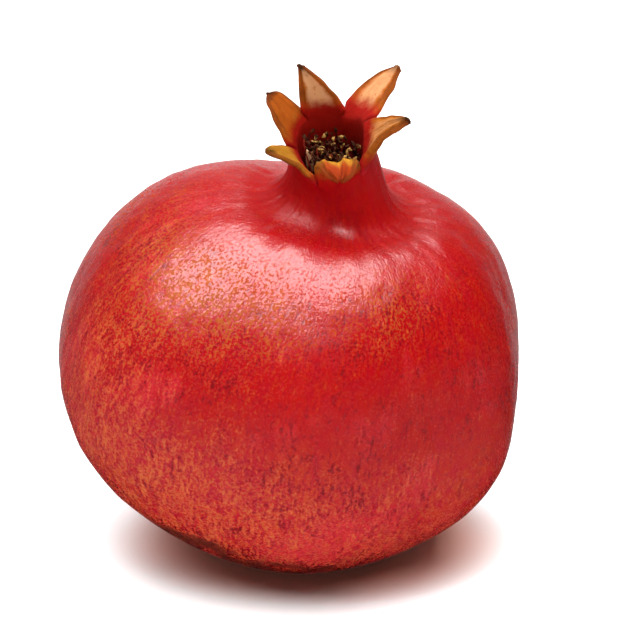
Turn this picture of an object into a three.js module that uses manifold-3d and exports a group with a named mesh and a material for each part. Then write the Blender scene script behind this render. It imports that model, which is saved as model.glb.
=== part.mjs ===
// A whole pomegranate with its dry calyx crown and the tuft of dried stamens inside the crown.
// Millimetres, +Z up. The fruit is drawn upright about its own axis, its crown is bent a little,
// and then the whole fruit is tilted as it lies, with a small flat spot underneath.

import * as THREE from 'three';
import Module from 'manifold-3d';

const wasm = await Module();
wasm.setup();

// Body outline, as distance from the fruit's own axis and height above its lower pole
const BODY_RADIUS = 46.0;
const EQUATOR_HEIGHT = 35.3;
const LOWER_FLANK_PULL = 16.8;
const UPPER_FLANK_PULL = 24.3;
const BASE_RADIUS = 11.0;
const BASE_PULL = 12.1;
const SHOULDER_RADIUS = 17.45;
const SHOULDER_HEIGHT = 74.7;
const SHOULDER_PULL = 12.1;
const SHOULDER_RISE = 1.2;

// Neck and the tube that carries the calyx
const NECK_RADIUS = 9.4;
const NECK_HEIGHT = 80.65;
const TUBE_RADIUS = 8.6;
const RIM_HEIGHT = 87.25;
const WALL = 1.9;
const CUP_DEPTH = 9.0;

// Soft ribs around the body, a slight oval, a sideways bow and one dip in the far shoulder
const RIB_SIZE = 0.0228;
const RIB_AZIMUTH = -28.5;
const RIB_SHIFT = 0.197;
const OVAL_SIZE = 0.0135;
const BOW = -2.98;
const DIP_DEPTH = 2.97;
const DIP_AZIMUTH = 105.3;
const DIP_SPREAD = 0.6;

// How the crown leans on the body, and how the whole fruit leans, in degrees
const CROWN_FORWARD = 6.91;
const CROWN_RIGHT = -16.6;
const FRUIT_FORWARD = 10.0;
const FRUIT_RIGHT = 9.29;
const FLAT_DEPTH = 1.9;

// Calyx: six lobes between six notches, counted anticlockwise from the left
const NOTCH_AZIMUTHS = [-168.2, -108.2, -48.2, 11.8, 71.8, 131.8];
const NOTCH_RISES = [-1.21, -4.13, -1.59, 5.25, 2.67, 1.53];
// Each lobe: length; lean at its foot and tip and how early it leans; sideways sway; width kept at
// the tip and how soon it tapers; half angle of its trough at foot and tip. Angles in degrees.
const LOBES = [
  makeLobe(8.7, [31, 70.8, 0.97], 1, [0.36, 0.67], [39, 6.4]),
  makeLobe(11.2, [3, 116, 1.25], -4, [0.66, 1.4], [34, 8]),
  makeLobe(14.7, [30, 51.3, 0.76], -14.4, [0.38, 1.06], [39.8, 17.4]),
  makeLobe(12.9, [35.9, 61.8, 0.3], 3.2, [0.14, 1.58], [35.3, 13.6]),
  makeLobe(10.5, [-3, 2.3, 1.02], 33.9, [0.11, 1.66], [40.1, 31.6]),
  makeLobe(7.3, [18.4, 36.8, 0.94], -5.4, [0.4, 1.62], [37.7, 13.7]),
];
const TIP_THINNING = 0.5;
const MARGIN_THINNING = 0.25;

// Stamens: a pad at the bottom of the cup and a seeded tuft rising from it
const STAMEN_COUNT = 34;
const STAMEN_SPREAD = 4.9;
const PAD_RADIUS = 5.9;
const PAD_GAP = 0.4;

// Fineness of the mesh
const COLUMNS_PER_LOBE = 10;
const COLUMNS = 6 * COLUMNS_PER_LOBE;
const LOBE_ROWS = 7;
const SUM_STEPS = 8;

const DEGREE = Math.PI / 180;

function makeLobe(length, [leanStart, leanEnd, leanPower], sway, [tip, taper], [cupStart, cupEnd]) {
  return { length, leanStart, leanEnd, leanPower, sway, tip, taper, cupStart, cupEnd };
}

function smoothStep(low, high, value) {
  const t = Math.min(1, Math.max(0, (value - low) / (high - low)));
  return t * t * (3 - 2 * t);
}

function mix(a, b, t) {
  return a + (b - a) * t;
}

// Points of one cubic curve after its start
function curvePoints(start, pullStart, pullEnd, end, steps) {
  const curve = new THREE.CubicBezierCurve(
    new THREE.Vector2(...start),
    new THREE.Vector2(...pullStart),
    new THREE.Vector2(...pullEnd),
    new THREE.Vector2(...end),
  );
  return curve.getPoints(steps).slice(1).map((point) => [point.x, point.y]);
}

// Half outline of the fruit from the stalk scar, over the belly and shoulder, up to the tube
function bodyOutline() {
  const scar = [[1.2, 1.2], [2.2, 1.15], [2.7, 1.9], [3.4, 2.3], [4.5, 1.9]];
  const base = [BASE_RADIUS, 0];
  const equator = [BODY_RADIUS, EQUATOR_HEIGHT];
  const shoulder = [SHOULDER_RADIUS, SHOULDER_HEIGHT];
  const neck = [NECK_RADIUS, NECK_HEIGHT];
  const tube = [TUBE_RADIUS, RIM_HEIGHT - 2.5];
  return [
    ...scar,
    ...curvePoints([4.5, 1.9], [6.5, 0.6], [8.5, 0.15], base, 3),
    ...curvePoints(
      base, [BASE_RADIUS + BASE_PULL, 0], [BODY_RADIUS, EQUATOR_HEIGHT - LOWER_FLANK_PULL], equator, 12),
    ...curvePoints(
      equator, [BODY_RADIUS, EQUATOR_HEIGHT + UPPER_FLANK_PULL],
      [SHOULDER_RADIUS + SHOULDER_PULL, SHOULDER_HEIGHT + SHOULDER_RISE], shoulder, 12),
    ...curvePoints(
      shoulder, [SHOULDER_RADIUS - 4.5, SHOULDER_HEIGHT - 4.5 * SHOULDER_RISE / SHOULDER_PULL],
      [NECK_RADIUS + 0.84, NECK_HEIGHT - 4.2], neck, 7),
    ...curvePoints(neck, [NECK_RADIUS - 0.4, NECK_HEIGHT + 2], [TUBE_RADIUS, RIM_HEIGHT - 4.5], tube, 2),
  ];
}

// A point of the skin, with ribs, oval, bow and shoulder dip, on the upright fruit
function skinPoint(radius, height, azimuth) {
  const ribbed = smoothStep(2, 26, height) * (1 - 0.75 * smoothStep(66, 84, height));
  const turn = azimuth - RIB_AZIMUTH * DEGREE;
  const wave = RIB_SIZE * Math.cos(6 * (turn + RIB_SHIFT * Math.sin(turn)));
  const oval = OVAL_SIZE * Math.cos(2 * azimuth);
  const r = radius * (1 + ribbed * (wave + oval));
  const along = Math.min(1, Math.max(0, height / SHOULDER_HEIGHT));
  const away = Math.atan2(Math.sin(azimuth - DIP_AZIMUTH * DEGREE), Math.cos(azimuth - DIP_AZIMUTH * DEGREE));
  const dip = DIP_DEPTH * Math.exp(-((away / DIP_SPREAD) ** 2));
  const dipped = smoothStep(60, 74, height) * smoothStep(10, 20, radius);
  return new THREE.Vector3(
    r * Math.cos(azimuth) + 4 * BOW * along * (1 - along),
    r * Math.sin(azimuth),
    height - dip * dipped,
  );
}

// Height of the rim's edge, passing smoothly from notch to notch
function rimHeight(azimuthDegrees) {
  const first = NOTCH_AZIMUTHS[0];
  const turned = ((azimuthDegrees - first) % 360 + 360) % 360;
  const index = Math.min(5, Math.floor(turned / 60));
  const t = smoothStep(0, 60, turned - 60 * index);
  return RIM_HEIGHT + mix(NOTCH_RISES[index], NOTCH_RISES[(index + 1) % 6], t);
}

// The upright fruit's crown bends forward and leans right, then the whole fruit tilts
function settle(point) {
  const start = SHOULDER_HEIGHT;
  const span = NECK_HEIGHT + 2 - start;
  const above = Math.max(0, point.z - start);
  const turnedPart = Math.min(above, span);
  const beyond = above - turnedPart;
  const full = CROWN_FORWARD * DEGREE;
  const angle = full * turnedPart / span;
  const arc = span / full;
  const baseZ = above > 0 ? start : point.z;
  const bent = new THREE.Vector3(
    point.x + Math.tan(CROWN_RIGHT * DEGREE) * (turnedPart ** 2 / (2 * span) + beyond),
    -arc * (1 - Math.cos(angle)) - beyond * Math.sin(full) + point.y * Math.cos(angle),
    baseZ + arc * Math.sin(angle) + beyond * Math.cos(full) + point.y * Math.sin(angle),
  );
  bent.applyAxisAngle(new THREE.Vector3(1, 0, 0), FRUIT_FORWARD * DEGREE);
  return bent.applyAxisAngle(new THREE.Vector3(0, 1, 0), FRUIT_RIGHT * DEGREE);
}

// Collects the points and triangles of one closed body
class Shell {
  constructor() {
    this.points = [];
    this.triangles = [];
  }

  addRow(row) {
    return row.map((point) => this.points.push(point) - 1);
  }

  // Joins two rows of equal length; the first is the lower one seen from outside
  join(lower, upper, closed) {
    const last = closed ? lower.length : lower.length - 1;
    for (let i = 0; i < last; i += 1) {
      const next = (i + 1) % lower.length;
      this.triangles.push([lower[i], lower[next], upper[next]]);
      this.triangles.push([lower[i], upper[next], upper[i]]);
    }
  }

  fan(centre, row, reversed) {
    const [tip] = this.addRow([centre]);
    for (let i = 0; i < row.length; i += 1) {
      const next = (i + 1) % row.length;
      this.triangles.push(reversed ? [tip, row[next], row[i]] : [tip, row[i], row[next]]);
    }
  }

  toSolid(place) {
    const placed = this.points.map(place);
    return new wasm.Manifold(new wasm.Mesh({
      numProp: 3,
      vertProperties: new Float32Array(placed.flatMap((point) => [point.x, point.y, point.z])),
      triVerts: new Uint32Array(this.triangles.flat()),
    }));
  }
}

function ringAzimuths() {
  const first = NOTCH_AZIMUTHS[0] * DEGREE;
  return Array.from({ length: COLUMNS }, (_, i) => first + i * 2 * Math.PI / COLUMNS);
}

function rimRing(radius) {
  return ringAzimuths().map((azimuth) => new THREE.Vector3(
    radius * Math.cos(azimuth),
    radius * Math.sin(azimuth),
    rimHeight(azimuth / DEGREE),
  ));
}

// Outer skin from the scar to the rim; its upper rows follow the rise and fall of the notches
function outerRows() {
  const azimuths = ringAzimuths();
  const rim = rimRing(TUBE_RADIUS);
  const rows = bodyOutline().map(([radius, height]) => azimuths.map((azimuth, i) => {
    const point = skinPoint(radius, height, azimuth);
    const share = smoothStep(NECK_HEIGHT - 4, RIM_HEIGHT - 2.5, height);
    point.z += 0.7 * share * (rim[i].z - RIM_HEIGHT);
    return point;
  }));
  const top = rows[rows.length - 1];
  rows.push(top.map((point, i) => point.clone().lerp(rim[i], 0.5)));
  rows.push(rim);
  return rows;
}

// Inner wall of the tube, from the rim down to the floor of the cup
function innerRows() {
  const radius = TUBE_RADIUS - WALL;
  const floor = RIM_HEIGHT - CUP_DEPTH;
  const rim = rimRing(radius);
  const steps = [[1, 0], [1, 0.35], [0.99, 0.75], [0.92, 0.94], [0.7, 1], [0.35, 1]];
  return steps.map(([share, depth]) => rim.map((point) => new THREE.Vector3(
    point.x * share,
    point.y * share,
    mix(point.z, floor, depth),
  )));
}

// Centre line of a lobe: distances outward, upward and sideways, summed in small steps
function lobeLine(lobe) {
  const line = [[0, 0, 0]];
  const steps = LOBE_ROWS * SUM_STEPS;
  let [out, up, side] = [0, 0, 0];
  for (let i = 0; i < steps; i += 1) {
    const t = (i + 0.5) / steps;
    const lean = DEGREE * mix(lobe.leanStart, lobe.leanEnd, t ** lobe.leanPower);
    const sway = DEGREE * lobe.sway * t;
    const step = lobe.length / steps;
    out += step * Math.sin(lean) * Math.cos(sway);
    up += step * Math.cos(lean) * Math.cos(sway);
    side += step * Math.sin(sway);
    if ((i + 1) % SUM_STEPS === 0) {
      line.push([out, up, side]);
    }
  }
  return line;
}

// One face of a lobe: rows from the rim to the tip, each an arc across the trough
function lobeRows(index, inner) {
  const lobe = LOBES[index];
  const middle = (NOTCH_AZIMUTHS[index] + 30) * DEGREE;
  const halfWidth = TUBE_RADIUS * Math.sin(30 * DEGREE);
  const baseHeight = RIM_HEIGHT + (NOTCH_RISES[index] + NOTCH_RISES[(index + 1) % 6]) / 2;
  const rows = lobeLine(lobe).map(([out, up, side], row) => {
    const t = row / LOBE_ROWS;
    const lean = DEGREE * mix(lobe.leanStart, lobe.leanEnd, t ** lobe.leanPower);
    const cup = DEGREE * mix(lobe.cupStart, lobe.cupEnd, t);
    const body = (1 - lobe.tip) * Math.max(0, 1 - t ** lobe.taper) ** 0.9;
    const end = lobe.tip * Math.sqrt(Math.max(0, 1 - t ** 6));
    const width = halfWidth * Math.max(0.14, body + end);
    return Array.from({ length: COLUMNS_PER_LOBE + 1 }, (_, column) => {
      const v = 2 * column / COLUMNS_PER_LOBE - 1;
      const sunk = width * (1 - Math.cos(cup * v)) / Math.sin(cup);
      const thick = inner ? WALL * (1 - TIP_THINNING * t) * (1 - MARGIN_THINNING * v ** 4) : 0;
      const inward = sunk + thick * Math.cos(cup * v);
      const narrowing = Math.min(thick, 0.4 * width / Math.sin(cup));
      const u = TUBE_RADIUS + out - inward * Math.cos(lean);
      const z = baseHeight + up + inward * Math.sin(lean);
      const s = side + width * Math.sin(cup * v) / Math.sin(cup) - narrowing * Math.sin(cup * v);
      return new THREE.Vector3(
        u * Math.cos(middle) - s * Math.sin(middle),
        u * Math.sin(middle) + s * Math.cos(middle),
        z,
      );
    });
  });
  return weldToRim(rows, index, inner);
}

// Moves a lobe's lowest rows so that the first lies exactly on the rim
function weldToRim(rows, index, inner) {
  const rim = rimRing(TUBE_RADIUS - (inner ? WALL : 0));
  const first = rows[0].map((point) => point.clone());
  rows.forEach((row, i) => row.forEach((point, column) => {
    const target = rim[(index * COLUMNS_PER_LOBE + column) % COLUMNS];
    const share = (1 - i / LOBE_ROWS) ** 2;
    point.add(target.clone().sub(first[column]).multiplyScalar(share));
  }));
  return rows;
}

// Adds the two faces, the margins and the tip of one lobe to the shell
function addLobe(shell, index, outerRim, innerRim) {
  const columns = Array.from(
    { length: COLUMNS_PER_LOBE + 1 }, (_, i) => (index * COLUMNS_PER_LOBE + i) % COLUMNS);
  let lowerOut = columns.map((i) => outerRim[i]);
  let lowerIn = columns.map((i) => innerRim[i]);
  const outside = lobeRows(index, false);
  const inside = lobeRows(index, true);
  for (let row = 1; row <= LOBE_ROWS; row += 1) {
    const upperOut = shell.addRow(outside[row]);
    const upperIn = shell.addRow(inside[row]);
    const last = COLUMNS_PER_LOBE;
    shell.join(lowerOut, upperOut, false);
    joinInside(shell, lowerIn, upperIn);
    shell.join([lowerIn[0], lowerOut[0]], [upperIn[0], upperOut[0]], false);
    shell.join([lowerOut[last], lowerIn[last]], [upperOut[last], upperIn[last]], false);
    lowerOut = upperOut;
    lowerIn = upperIn;
  }
  shell.join(lowerOut, lowerIn, false);
}

// The inner face is split along the same diagonals as the outer face
function joinInside(shell, lower, upper) {
  for (let i = 0; i < lower.length - 1; i += 1) {
    shell.triangles.push([lower[i], upper[i + 1], lower[i + 1]]);
    shell.triangles.push([lower[i], upper[i], upper[i + 1]]);
  }
}

function fruitShell() {
  const shell = new Shell();
  const outer = outerRows().map((row) => shell.addRow(row));
  outer.slice(1).forEach((row, i) => shell.join(outer[i], row, true));
  shell.fan(new THREE.Vector3(0, 0, 1.2), outer[0], true);
  const inner = innerRows().map((row) => shell.addRow(row));
  inner.slice(1).forEach((row, i) => shell.join(inner[i], row, true));
  shell.fan(new THREE.Vector3(0, 0, RIM_HEIGHT - CUP_DEPTH), inner[inner.length - 1], false);
  for (let index = 0; index < 6; index += 1) {
    addLobe(shell, index, outer[outer.length - 1], inner[0]);
  }
  return shell;
}

// Small repeatable random numbers between 0 and 1
function seededRandom(seed) {
  let state = seed;
  return () => {
    state = (state * 16807) % 2147483647;
    return state / 2147483647;
  };
}

// A closed body through rings of points, with a cap on each end
function ringBody(rings) {
  const shell = new Shell();
  const rows = rings.map((ring) => shell.addRow(ring));
  rows.slice(1).forEach((row, i) => shell.join(rows[i], row, true));
  const centre = (ring) => ring.reduce((sum, point) => sum.add(point), new THREE.Vector3())
    .divideScalar(ring.length);
  shell.fan(centre(rings[0]), rows[0], true);
  shell.fan(centre(rings[rings.length - 1]), rows[rows.length - 1], false);
  return shell.toSolid((point) => point);
}

// A ring of points around a centre, square to a direction
function ringAround(centre, direction, across, deep, sides) {
  const ahead = direction.clone().normalize();
  const right = new THREE.Vector3(0, 1, 0).cross(ahead).normalize();
  const front = ahead.clone().cross(right);
  return Array.from({ length: sides }, (_, i) => {
    const angle = 2 * Math.PI * (i + 0.5) / sides;
    return centre.clone()
      .addScaledVector(right, across * Math.cos(angle))
      .addScaledVector(front, deep * Math.sin(angle));
  });
}

// The receptacle pad that carries the stamens, a low cushion just above the cup's floor
function stamenPad() {
  const floor = RIM_HEIGHT - CUP_DEPTH + PAD_GAP;
  const outline = [[3.9, 0], [5.3, 0.5], [PAD_RADIUS, 1.3], [5.2, 2.0], [2.8, 2.5]];
  const up = new THREE.Vector3(0, 0, 1);
  return ringBody(outline.map(([radius, height]) => ringAround(
    new THREE.Vector3(0, 0, floor + height), up, radius, radius, 20)));
}

// One dried stamen: a thin filament that curls over and swells into its anther
function stamen(index, random) {
  const azimuth = index * 137.5 * DEGREE;
  const root = STAMEN_SPREAD * Math.sqrt((index + 0.5) / STAMEN_COUNT);
  const start = RIM_HEIGHT - CUP_DEPTH + PAD_GAP + 1.3;
  const tall = 4.4 + 2.6 * random();
  const reach = Math.min(5.1, root * 0.8 + 1.6 * random());
  const swirl = azimuth + (random() - 0.5) * 1.2;
  const path = new THREE.QuadraticBezierCurve3(
    new THREE.Vector3(root * Math.cos(azimuth), root * Math.sin(azimuth), start),
    new THREE.Vector3(root * Math.cos(azimuth), root * Math.sin(azimuth), start + tall * 0.7),
    new THREE.Vector3(reach * Math.cos(swirl), reach * Math.sin(swirl), start + tall),
  );
  const swell = [[0, 0.36], [0.4, 0.33], [0.72, 0.32], [0.8, 0.6], [0.92, 0.68], [1, 0.36]];
  return ringBody(swell.map(([t, size]) => ringAround(
    path.getPoint(t), path.getTangent(t), size, size * 0.85, 5)));
}

// The old style in the middle, a tapering column with a small knob
function pistilStyle() {
  const base = RIM_HEIGHT - CUP_DEPTH + PAD_GAP + 1.5;
  const up = new THREE.Vector3(0, 0, 1);
  const outline = [[0.8, 0], [0.6, 3.6], [0.55, 5.2], [0.85, 5.8], [0.6, 6.3]];
  return ringBody(outline.map(([radius, height]) => ringAround(
    new THREE.Vector3(-0.6, 0.5, base + height), up, radius, radius, 8)));
}

// A pale dried scrap of petal standing against the left of the cup
function petalScrap() {
  const base = RIM_HEIGHT - CUP_DEPTH + PAD_GAP + 1.2;
  const azimuth = -158 * DEGREE;
  const outward = new THREE.Vector3(Math.cos(azimuth), Math.sin(azimuth), 0);
  const along = new THREE.Vector3(-Math.sin(azimuth), Math.cos(azimuth), 0);
  const outline = [[4.6, 0, 1.2], [5.1, 2.4, 1.7], [5.3, 4.4, 1.5], [5.2, 6.2, 0.5]];
  return ringBody(outline.map(([radius, height, half]) => [[1, 1], [-1, 1], [-1, -1], [1, -1]].map(
    ([s, d]) => outward.clone().multiplyScalar(radius + 0.38 * d)
      .addScaledVector(along, -half * s)
      .add(new THREE.Vector3(0, 0, base + height)))));
}

function stamenTuft() {
  const random = seededRandom(4127);
  let tuft = stamenPad().add(pistilStyle()).add(petalScrap());
  for (let index = 0; index < STAMEN_COUNT; index += 1) {
    tuft = tuft.add(stamen(index, random));
  }
  return tuft;
}

// Turns a solid into a geometry, moving every corner by the given rule
function toGeometry(solid, move) {
  const mesh = solid.getMesh();
  const positions = [];
  for (let i = 0; i < mesh.numVert; i += 1) {
    const [x, y, z] = mesh.vertProperties.slice(i * mesh.numProp, i * mesh.numProp + 3);
    positions.push(...move(new THREE.Vector3(x, y, z)).toArray());
  }
  const geometry = new THREE.BufferGeometry();
  geometry.setAttribute('position', new THREE.Float32BufferAttribute(positions, 3));
  geometry.setIndex(Array.from(mesh.triVerts));
  geometry.computeVertexNormals();
  return geometry;
}

// The block that takes off the flat spot; its top lies at the given height
function groundBlock(height) {
  const block = new THREE.BoxGeometry(120, 120, 20);
  block.translate(0, 0, height - 10);
  const at = block.getAttribute('position');
  const shell = new Shell();
  const seen = new Map();
  for (let i = 0; i < block.index.count; i += 3) {
    shell.triangles.push([0, 1, 2].map((corner) => {
      const point = new THREE.Vector3().fromBufferAttribute(at, block.index.getX(i + corner));
      const key = point.toArray().join();
      if (!seen.has(key)) {
        seen.set(key, shell.points.push(point) - 1);
      }
      return seen.get(key);
    }));
  }
  return shell.toSolid((point) => point);
}

function buildMeshes() {
  const whole = fruitShell().toSolid(settle);
  const box = whole.boundingBox();
  const ground = box.min[2] + FLAT_DEPTH;
  const fruit = whole.subtract(groundBlock(ground));
  const shift = new THREE.Vector3(-(box.min[0] + box.max[0]) / 2, -(box.min[1] + box.max[1]) / 2, -ground);
  return {
    fruit: toGeometry(fruit, (point) => point.add(shift)),
    stamens: toGeometry(stamenTuft(), (point) => settle(point).add(shift)),
  };
}

function makeMesh(name, geometry, colour, roughness) {
  const material = new THREE.MeshStandardMaterial({ color: colour, roughness });
  material.name = name;
  const mesh = new THREE.Mesh(geometry, material);
  mesh.name = name;
  return mesh;
}

const geometries = buildMeshes();
const pomegranate = new THREE.Group();
pomegranate.name = 'pomegranate';
pomegranate.add(makeMesh('fruit', geometries.fruit, 0xb0151c, 0.35));
pomegranate.add(makeMesh('stamens', geometries.stamens, 0x6b4a22, 0.8));

export default pomegranate;
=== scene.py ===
# %% [markdown]
# # A pomegranate, built as surfaces
#
# A pomegranate is a leathery berry. Its rind closes over the seeds, narrows to a short neck and ends in the
# dry calyx of the flower: a tube with six pointed lobes and a tuft of old stamens inside.
#
# The solid model gives the size and the place. Here each visible surface is made again, much finer, as a
# function of two parameters on a grid. All shape numbers are millimetres and turn into metres at the end.

import math

import bpy
import numpy as np
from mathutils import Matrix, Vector


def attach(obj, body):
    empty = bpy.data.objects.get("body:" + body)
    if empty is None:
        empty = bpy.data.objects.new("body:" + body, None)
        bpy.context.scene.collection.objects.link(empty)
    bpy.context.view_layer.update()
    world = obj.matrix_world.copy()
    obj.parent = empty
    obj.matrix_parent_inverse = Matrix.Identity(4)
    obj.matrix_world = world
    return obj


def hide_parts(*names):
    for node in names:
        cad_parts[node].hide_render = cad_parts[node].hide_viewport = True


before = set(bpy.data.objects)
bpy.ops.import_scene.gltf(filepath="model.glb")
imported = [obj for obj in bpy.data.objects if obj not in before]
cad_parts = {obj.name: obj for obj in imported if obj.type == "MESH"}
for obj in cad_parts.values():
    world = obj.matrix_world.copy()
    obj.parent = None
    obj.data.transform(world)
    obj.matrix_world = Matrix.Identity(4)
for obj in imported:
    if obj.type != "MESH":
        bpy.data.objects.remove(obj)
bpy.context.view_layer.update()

# %% [markdown]
# ## Small helpers
#
# Smooth steps and mixes join every part of the fruit, because nothing on a grown thing starts abruptly.
# A few dozen plane waves added up give soft, irregular lumps that are the same on every run.

# %% Steps, mixes, curves and waves
MM = 0.001


def soft_step(low, high, value):
    """0 below low, 1 above high, and 3t squared minus 2t cubed between them."""
    t = np.clip((np.asarray(value, float) - low) / (high - low), 0, 1)
    return t * t * (3 - 2 * t)


def mix(a, b, t):
    """The point at share t of the way from a to b."""
    return a + (b - a) * t


def curve_points(start, pull_start, pull_end, end, steps):
    """Cubic curve: the four points weighted by the cubic Bernstein polynomials, without the start point."""
    t = np.linspace(0, 1, steps + 1)[1:, None]
    a, b, c, d = (np.array(p, float) for p in (start, pull_start, pull_end, end))
    return (1 - t) ** 3 * a + 3 * (1 - t) ** 2 * t * b + 3 * (1 - t) * t * t * c + t**3 * d


def lumps(points, longest, shortest, count, seed):
    """Sum of plane waves: cosines of (direction . point + phase), scaled to a height of about 1."""
    draw = np.random.default_rng(seed)
    direction = draw.normal(size=(count, 3))
    direction /= np.linalg.norm(direction, axis=1, keepdims=True)
    length = np.exp(draw.uniform(math.log(shortest), math.log(longest), count))
    phase = draw.uniform(0, 2 * math.pi, count)
    waves = np.cos(points @ (direction * (2 * math.pi / length)[:, None]).T + phase)
    return waves.sum(-1) / math.sqrt(count / 2) / 1.6


# %% [markdown]
# ## The belly, shoulder and neck
#
# The half outline is four smooth curves from the stalk scar underneath to the tube of the calyx. Turning
# it gives a body, and six soft ribs, a slight oval and one dip in the far shoulder make it this fruit.

# %% Half outline of the fruit
BODY_RADIUS = 46.0
EQUATOR_HEIGHT = 35.3
SHOULDER = (17.45, 74.7)
NECK = (9.4, 80.65)
TUBE_RADIUS = 8.6
RIM_HEIGHT = 87.25
WALL = 1.9
CUP_DEPTH = 9.0


def body_outline():
    """Radius and height down the middle of the skin: scar, base, lower flank, upper flank, shoulder, tube."""
    scar = np.array([(0.6, 1.2), (1.2, 1.2), (2.2, 1.15), (2.5, 1.5), (2.9, 2.05), (3.4, 2.3), (4.5, 1.9)])
    base = (11.0, 0.0)
    equator = (BODY_RADIUS, EQUATOR_HEIGHT)
    tube = (TUBE_RADIUS, RIM_HEIGHT - 2.5)
    return np.vstack([
        scar,
        curve_points(scar[-1], (6.5, 0.6), (8.5, 0.15), base, 8),
        curve_points(base, (23.1, 0), (BODY_RADIUS, EQUATOR_HEIGHT - 16.8), equator, 42),
        curve_points(equator, (BODY_RADIUS, EQUATOR_HEIGHT + 24.3), (29.55, 75.9), SHOULDER, 52),
        curve_points(SHOULDER, (12.95, 74.7 - 4.5 * 1.2 / 12.1), (10.24, 76.45), NECK, 26),
        curve_points(NECK, (9.0, 82.65), (TUBE_RADIUS, RIM_HEIGHT - 4.5), tube, 8),
    ])


outline = body_outline()
step_lengths = np.linalg.norm(np.diff(outline, axis=0), axis=1)
outline_run = np.concatenate([[outline[0, 0]], outline[0, 0] + np.cumsum(step_lengths)])
print("outline:", len(outline), "points,", round(outline_run[-1], 1), "mm from scar to tube")

# %% Ribs, oval, bow and dip
RIB_SIZE = 0.0228
RIB_AZIMUTH = math.radians(-28.5)
RIB_SHIFT = 0.197
OVAL_SIZE = 0.0135
BOW = -2.98
DIP_DEPTH = 2.97
DIP_AZIMUTH = math.radians(105.3)
DIP_SPREAD = 0.6


def skin_points(radius, height, azimuth):
    """The outline turned to an azimuth. The radius swells with a cosine of six times the azimuth (ribs) and
    of twice the azimuth (oval), the middle bows sideways, and a bell-shaped dip lowers the far shoulder."""
    ribbed = soft_step(2, 26, height) * (1 - 0.75 * soft_step(66, 84, height))
    turn = azimuth - RIB_AZIMUTH
    wave = RIB_SIZE * np.cos(6 * (turn + RIB_SHIFT * np.sin(turn))) + OVAL_SIZE * np.cos(2 * azimuth)
    r = radius * (1 + ribbed * wave)
    along = np.clip(height / SHOULDER[1], 0, 1)
    away = np.arctan2(np.sin(azimuth - DIP_AZIMUTH), np.cos(azimuth - DIP_AZIMUTH))
    dip = DIP_DEPTH * np.exp(-(away / DIP_SPREAD) ** 2) * soft_step(60, 74, height) * soft_step(10, 20, radius)
    x = r * np.cos(azimuth) + 4 * BOW * along * (1 - along)
    return np.stack(np.broadcast_arrays(x, r * np.sin(azimuth), height - dip), -1)


# %% [markdown]
# ## How the fruit lies
#
# The fruit is drawn upright about its own axis. The crown then bends a little at the neck, along an arc,
# and the whole fruit leans towards the viewer and to the right, as it lies on its belly.

# %% Bend the crown, tilt the fruit, put it on the ground
CROWN_FORWARD = math.radians(6.91)
CROWN_RIGHT = math.radians(-16.6)
FRUIT_FORWARD = math.radians(10.0)
FRUIT_RIGHT = math.radians(9.29)
LOWEST = -2.9764
FLAT_DEPTH = 1.9
SHIFT = np.array([-3.1043, 6.3211, -(LOWEST + FLAT_DEPTH)])


def settle(points):
    """Upright millimetres to metres in the frame: sections turn along an arc above the shoulder, then the
    whole turns about X and about Y and moves to its place. What falls under the ground is pressed flat."""
    start, span = SHOULDER[1], NECK[1] + 2 - SHOULDER[1]
    above = np.maximum(points[..., 2] - start, 0)
    turned = np.minimum(above, span)
    beyond = above - turned
    angle = CROWN_FORWARD * turned / span
    arc = span / CROWN_FORWARD
    y = points[..., 1]
    bent = np.stack([
        points[..., 0] + math.tan(CROWN_RIGHT) * (turned**2 / (2 * span) + beyond),
        -arc * (1 - np.cos(angle)) - beyond * math.sin(CROWN_FORWARD) + y * np.cos(angle),
        np.where(above > 0, start, points[..., 2]) + arc * np.sin(angle) + beyond * math.cos(CROWN_FORWARD)
        + y * np.sin(angle),
    ], -1)
    cx, sx = math.cos(FRUIT_FORWARD), math.sin(FRUIT_FORWARD)
    cy, sy = math.cos(FRUIT_RIGHT), math.sin(FRUIT_RIGHT)
    about_x = np.array([[1, 0, 0], [0, cx, -sx], [0, sx, cx]])
    about_y = np.array([[cy, 0, sy], [0, 1, 0], [-sy, 0, cy]])
    placed = bent @ (about_y @ about_x).T + SHIFT
    placed[..., 2] = np.maximum(placed[..., 2], 0)
    return placed * MM


# %% [markdown]
# ## The rim of the calyx
#
# Six notches divide the calyx, each at its own height, and the rim passes smoothly from one to the next.
# The skin's upper rows follow it, so the tube meets the lobes without a step.

# %% Rim, columns and skin grid
NOTCHES = np.array([-168.2, -108.2, -48.2, 11.8, 71.8, 131.8])
NOTCH_RISES = np.array([-1.21, -4.13, -1.59, 5.25, 2.67, 1.53])
LOBE_COLUMNS = 40
COLUMNS = 6 * LOBE_COLUMNS
azimuths = np.radians(NOTCHES[0]) + np.arange(COLUMNS) * 2 * math.pi / COLUMNS


def rim_height(azimuth):
    """Rim height plus a smooth step from the rise of the last notch to that of the next."""
    turned = (np.degrees(azimuth) - NOTCHES[0]) % 360
    index = np.clip((turned / 60).astype(int), 0, 5)
    t = soft_step(0, 60, turned - 60 * index)
    return RIM_HEIGHT + mix(NOTCH_RISES[index], NOTCH_RISES[(index + 1) % 6], t)


def rim_ring(radius):
    """A circle of that radius whose height follows the rim."""
    return np.stack([radius * np.cos(azimuths), radius * np.sin(azimuths), rim_height(azimuths)], -1)


def skin_grid():
    """Rows of the outline by columns of azimuth; the top rows rise and fall with seven tenths of the rim."""
    radius, height = outline[:, :1], outline[:, 1:]
    rows = skin_points(radius, height, azimuths[None, :])
    rows[..., 2] += 0.7 * soft_step(NECK[1] - 4, RIM_HEIGHT - 2.5, height) * (rim_height(azimuths) - RIM_HEIGHT)
    rim = rim_ring(TUBE_RADIUS)
    extra = [mix(rows[-1], rim, share) for share in (0.25, 0.5, 0.75)]
    return np.concatenate([rows, np.array(extra), rim[None]])


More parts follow.
